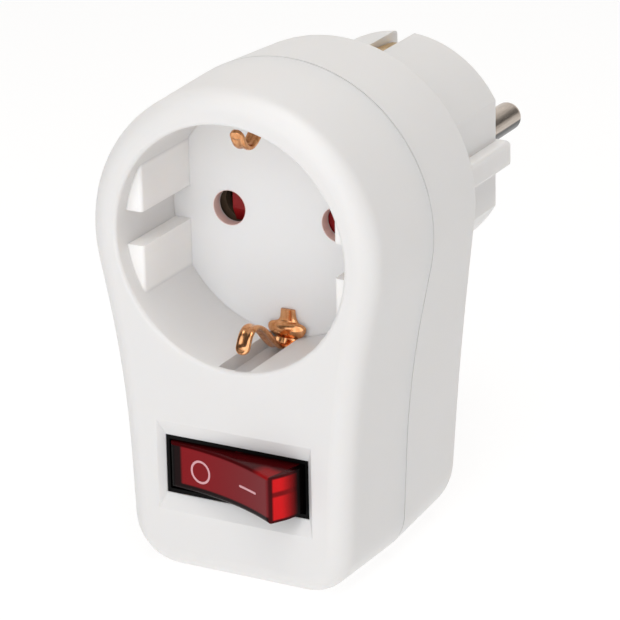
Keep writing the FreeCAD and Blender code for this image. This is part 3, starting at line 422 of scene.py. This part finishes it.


# Red polycarbonate, moulded to a polish, clear and deep red. Its light and shade are painted on by place in
# the rocker's frame: painted shade, nearly black, where its walls would be seen edge on, and painted light at
# the raised end, where light would come in on both sides of the rib behind it, with painted shade over the
# rib.
# Each band gives the mm where its colour starts and where it is full, less than nothing for inside.
redRocker = {
    # painted shading along the face: its red at the pressed end, a darker, duller red at the raised end
    "face": "#82141A",
    "faceFar": "#742025",
    # painted shade, nearly black: the walls seen edge on, and darkest along the pressed end
    "wall": "#180809",
    "dark": "#060303",
    "lowWall": (1.25, 0.9),  # up from the lower edge
    "farWall": (2.3, 1.7),  # along from the pressed end
    "farEdge": (1.0, 0.5),  # along from the pressed end
    # painted light and painted shade on the top wall: a lit red patch, dark red elsewhere
    "topGlow": "#8C1215",
    "topWall": "#42070A",
    "topSkin": (-0.55, -0.3),  # past the upper edge
    "topFar": (8.5, 6.0),  # along, from the pivot
    "topDeep": (-2.6, -1.0),  # inwards, from the pivot
    # painted light: the raised end bright red, fading deeper in, with painted shade over the rib and round
    # its rims
    "glow": "#D4181C",
    "glowDeep": "#8C0B0F",
    "rib": "#7C0A0E",
    "endSkin": (-0.35, 0.05),  # past the raised end
    "glowFades": (-2.8, -0.6),  # inwards, from the pivot
    "ribAt": 0.8,  # above the pivot
    "ribBand": (0.6, 0.2),  # from the rib's middle
    "endRim": (-0.6, -0.3),  # past the upper or lower edge
    "endCrest": (-3.8, -4.2),  # inwards, from the pivot
    "endDark": (-1.2, 0.9),  # inwards, from the pivot
    "smear": 1.2,  # mm, size of the patches where the polish is worn
    "roughness": 0.13,
    "roughnessSpread": (0.7, 1.5),
    "ior": 1.585,
    "gloss": 0.06,
}


def redPolycarbonate(s, frameOf=rockerFrame):
    material, tree = newMaterial("polishedRedPolycarbonate")
    a = math.radians(frameOf["turn"])
    level = -(Matrix.Rotation(a, 3, "Z") @ place(*frameOf["pivot"]))  # brings the pivot to zero, turned
    where = addNode(tree, "ShaderNodeTexCoord")
    local = addNode(tree, "ShaderNodeMapping", values={"Location": level, "Rotation": (0, 0, a)},
                    links={"Vector": (where, "Object")})
    parts = addNode(tree, "ShaderNodeSeparateXYZ", links={"Vector": (local, "Vector")})
    aboveRib = addNode(tree, "ShaderNodeMath", {"operation": "SUBTRACT"}, {1: s["ribAt"] * mm},
                       {0: (parts, "Z")})
    fromRib = addNode(tree, "ShaderNodeMath", {"operation": "ABSOLUTE"}, links={0: (aboveRib, "Value")})
    fromMiddle = addNode(tree, "ShaderNodeMath", {"operation": "ABSOLUTE"}, links={0: (parts, "Z")})
    measures = {"along": (parts, "X"), "inwards": (parts, "Y"), "up": (parts, "Z"),
                "fromRib": (fromRib, "Value"), "fromMiddle": (fromMiddle, "Value")}
    halfL, halfH = frameOf["halfLength"], frameOf["halfHeight"]
    # each row lays a colour, or a surface laid before, over what is under it
    surfaces = (
        ("front", "face", (
            ("along", 0, (-halfL, halfL), "faceFar"),
            ("up", -halfH, s["lowWall"], "wall"),
            ("along", -halfL, s["farWall"], "wall"),
            ("along", -halfL, s["farEdge"], "dark"))),
        ("top", "topGlow", (
            ("along", 0, s["topFar"], "topWall"),
            ("inwards", 0, s["topDeep"], "topWall"))),
        ("end", "glow", (
            ("inwards", 0, s["glowFades"], "glowDeep"),
            ("fromRib", 0, s["ribBand"], "rib"),
            ("fromMiddle", halfH, s["endRim"], "topWall"),
            ("inwards", 0, s["endCrest"], "topWall"),
            ("inwards", 0, s["endDark"], "dark"))),
        ("whole", "front", (
            ("up", halfH, s["topSkin"], "top"),
            ("along", halfL, s["endSkin"], "end"))),
    )
    laid = {}
    for surface, under, rows in surfaces:
        for measure, origin, (start, full), over in rows:
            amount = addNode(tree, "ShaderNodeMapRange", {"interpolation_type": "SMOOTHSTEP"},
                             {"From Min": (origin + start) * mm, "From Max": (origin + full) * mm},
                             {"Value": measures[measure]})
            pair = ((6, under), (7, over))
            colours = {key: hexColour(s[what]) for key, what in pair if what not in laid}
            sources = {key: (laid[what], 2) for key, what in pair if what in laid}
            laid[surface] = addNode(tree, "ShaderNodeMix", {"data_type": "RGBA"}, colours,
                                    {0: (amount, "Result")} | sources)
            under = surface
    smear = addNode(tree, "ShaderNodeTexNoise", values={"Scale": 1 / (s["smear"] * mm), "Detail": 3.0},
                    links={"Vector": (where, "Object")})
    least, most = (s["roughness"] * spread for spread in s["roughnessSpread"])
    rough = addNode(tree, "ShaderNodeMapRange", values={"To Min": least, "To Max": most},
                    links={"Value": (smear, "Fac")})
    shader = addNode(tree, "ShaderNodeBsdfPrincipled",
                     values={"IOR": s["ior"], "Specular IOR Level": s["gloss"]},
                     links={"Base Color": (laid["whole"], 2), "Roughness": (rough, "Result")})
    finishMaterial(tree, shader)
    return material


finishes = {"white_abs": mouldedWhiteAbs(whiteAbs), "red_polycarbonate": redPolycarbonate(redRocker)}
finishes.update({slot: metal(**s) for slot, s in metals.items()})
finishes.update({slot: plastic(**s) for slot, s in plastics.items()})
slotOf = {row["node"]: row["material_slot"] for row in frame["record"]["subparts"]}
for name, node in frame["nodes"].items():
    if not node.material_slots:
        node.data.materials.append(None)
    for slot in node.material_slots:
        slot.material = finishes[slotOf[name]]
print("finishes set on", len(frame["nodes"]), "CAD nodes")


def layRows(form, rows, closed=False):
    # skins rows of points, joined along them, closed into a ring or with a cap at each end
    count = len(rows[0])
    for here, there in zip(rows, rows[1:] + (rows[:1] if closed else [])):
        for j in range(count):
            form.faces.new((here[j], here[(j + 1) % count], there[(j + 1) % count], there[j]))
    if not closed:
        form.faces.new(rows[0])
        form.faces.new(rows[-1])


def makePiece(form, name, material):
    # one smooth object of a finished form
    bmesh.ops.recalc_face_normals(form, faces=form.faces)
    mesh = bpy.data.meshes.new(name)
    form.to_mesh(mesh)
    form.free()
    for face in mesh.polygons:
        face.use_smooth = True
    mesh.materials.append(material)
    piece = bpy.data.objects.new(name, mesh)
    bpy.context.scene.collection.objects.link(piece)
    return piece


# The O and I marks, pad printed on the rocker: a ring at the pressed end and a bar at the raised one.
# The ink is a pale pink, matt and a little uneven. Places are in mm in the rocker's frame.
markSettings = {
    "ring": {"x": -4.99, "z": -0.04, "radius": 1.74, "steps": 96},  # radius to the middle of the line
    "bar": {"from": 3.34, "to": 7.42, "z": 0.1, "steps": 40, "tip": 0.15},  # tip as a share of the line
    "line": 0.37,
    "lift": 0.05,
    "sunk": 0.03,
    "profile": ((-1, 0.5), (-0.6, 1), (0, 1.1), (0.6, 1), (1, 0.5)),  # shares of half the line and the lift
    "ink": {"name": "printedPaleInk", "colour": "#DBA6AC", "shade": "#D0979E", "roughness": 0.45,
            "grain": 0.2},
}


def markProfile(s):
    half = s["line"] / 2
    skin = [(across * half, up * s["lift"]) for across, up in s["profile"]]
    return [(-half, -s["sunk"]), *skin, (half, -s["sunk"])]


def printedMark(name, rows, ink, closed=False):
    form = bmesh.new()
    layRows(form, [[form.verts.new(point) for point in row] for row in rows], closed)
    piece = makePiece(form, name, ink)
    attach(piece, "rocker")


def makeMarks(s):
    ink = plastic(**s["ink"])
    ring = s["ring"]
    rows = []
    for i in range(ring["steps"]):
        t = 2 * math.pi * i / ring["steps"]
        rows.append([onRocker(ring["x"] + (ring["radius"] + w) * math.cos(t),
                              ring["z"] + (ring["radius"] + w) * math.sin(t), h) for w, h in markProfile(s)])
    printedMark("markO", rows, ink, closed=True)
    bar = s["bar"]
    half = s["line"] / 2
    rows = []
    for i in range(bar["steps"] + 1):
        # closer together at the rounded ends
        x = bar["from"] + (bar["to"] - bar["from"]) * (1 - math.cos(math.pi * i / bar["steps"])) / 2
        nearEnd = max(bar["from"] + half - x, x - bar["to"] + half, 0) / half
        width = max(math.sqrt(max(1 - nearEnd ** 2, 0)), bar["tip"])
        rows.append([onRocker(x, bar["z"] + w * width, h) for w, h in markProfile(s)])
    printedMark("markI", rows, ink)


makeMarks(markSettings)
print("marks on the rocker made")

# The two earth contacts, pressed and rolled from one strip each: a hooked finger with a groove along
# it and a dimple at its tip, and a flared bell at its root. All in mm, and points are (Y, distance
# inside the socket's wall).
contactSettings = {
    "socketR": 19.5,
    "thickness": 0.8,
    "around": 40,  # points round the strip
    "edgeRound": (0.5, 0.6),  # powers that square a round section into a strip with rolled edges
    "thinFrom": 0.6,  # half width under which the strip thins towards its tip
    "finger": ((15.9, 0.1), (15.2, -0.9), (13.6, -0.5), (8.4, 4.9), (5.2, 5.1), (3.4, 1.6)),
    "fingerHalf": 1.2,
    "fingerStep": 0.12,
    "tipHalf": 0.12,
    "groove": 0.2,
    "grooveHalf": 0.4,
    "grooveRunOut": 2.5,
    "dimple": 0.3,
    "dimpleR": 0.3,
    "dimpleAt": 1.15,  # from the tip
    "bellX": 0.65,
    "bellCrown": 0.8,
    "bell": ((17.05, 4.5), (17.05, 3.5), (17.0, 2.75), (16.8, 2.3), (16.2, 2.05), (15.85, 1.5), (16.0, 0.85),
             (16.6, 0.3), (16.3, -0.5), (14.8, -0.9)),
    "bellHalf": (1.2, 1.3, 1.5, 2.1, 3.25, 3.35, 3.1, 2.4, 1.7, 1.3),
    "leg": ((23.4, 14.0), (23.4, 1.0), (15.6, 1.0)),
}


def eased(points, rounds):
    # corner cutting: a polyline with round bends that starts and ends where it did
    for _ in range(rounds):
        cut = [points[0]]
        for a, b in zip(points, points[1:]):
            cut.append(tuple(p * 0.75 + q * 0.25 for p, q in zip(a, b)))
            cut.append(tuple(p * 0.25 + q * 0.75 for p, q in zip(a, b)))
        points = cut + [points[-1]]
    return points


def runOf(points):
    # the length of each stretch of a line, seen along (Y, distance inside the wall)
    return [math.hypot(b[0] - a[0], b[1] - a[1]) for a, b in zip(points, points[1:])]


def rolledStrip(form, stations, side, s, across=0.0, crown=0.0, grooved=False):
    # a strip with rolled edges along (Y, inside, half width) stations, closed at both ends
    lengths = [0.0]
    for run in runOf(stations):
        lengths.append(lengths[-1] + run)
    squareU, squareV = s["edgeRound"]
    rows = []
    for i, (y, inside, half) in enumerate(stations):
        a = stations[max(i - 1, 0)]
        b = stations[min(i + 1, len(stations) - 1)]
        along = Vector((b[0] - a[0], b[1] - a[1])).normalized()
        fromEnd = lengths[-1] - lengths[i]
        thick = s["thickness"] / 2
        thin = min(1.0, half / s["thinFrom"])
        row = []
        for j in range(s["around"]):
            t = 2 * math.pi * j / s["around"]
            u = math.copysign(abs(math.cos(t)) ** squareU, math.cos(t)) * half
            v = math.copysign(abs(math.sin(t)) ** squareV, math.sin(t)) * thick * thin
            if grooved:
                shallow = math.exp(-(u / s["grooveHalf"]) ** 2) * min(1, fromEnd / s["grooveRunOut"])
                v -= math.copysign(s["groove"], v) * shallow
            if grooved and v > 0:
                away = math.hypot(u, fromEnd - s["dimpleAt"])
                v += s["dimple"] * math.exp(-(away / s["dimpleR"]) ** 2)
            outY = y + along.y * v + crown * (u / max(s["bellHalf"])) ** 2
            outInside = inside - along.x * v
            row.append(form.verts.new(place(across + u, outY, side * (s["socketR"] - outInside))))
        rows.append(row)
    layRows(form, rows)


def fingerStations(s):
    # evenly spaced points of the finger, with half widths that round its tip
    line = eased(s["finger"], rounds=4)
    spaced = []
    for a, b, run in zip(line, line[1:], runOf(line)):
        steps = max(1, round(run / s["fingerStep"]))
        spaced += [(a[0] + (b[0] - a[0]) * k / steps, a[1] + (b[1] - a[1]) * k / steps) for k in range(steps)]
    spaced.append(line[-1])
    runs = runOf(spaced)
    left = sum(runs)
    r = s["fingerHalf"]
    stations = []
    for (y, inside), run in zip(spaced, runs + [0.0]):
        half = math.sqrt(max(r ** 2 - max(r - left, 0) ** 2, 0))
        stations.append((y, inside, max(half, s["tipHalf"])))
        left -= run
    return stations


def earthContact(name, node, side, s=contactSettings):
    form = bmesh.new()
    rolledStrip(form, fingerStations(s), side, s, grooved=True)
    bell = eased([(y, inside, half) for (y, inside), half in zip(s["bell"], s["bellHalf"])], rounds=3)
    rolledStrip(form, bell, side, s, s["bellX"], s["bellCrown"])
    leg = [(y, inside, s["fingerHalf"]) for y, inside in eased(s["leg"], rounds=3)]
    rolledStrip(form, leg, side, s)
    piece = makePiece(form, name, finishes["bronze"])
    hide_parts(node)
    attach(piece, "casing")


earthContact("rolledEarthContactLower", "lower_earth_contact", -1)
earthContact("rolledEarthContactUpper", "upper_earth_contact", 1)
print("earth contacts made")
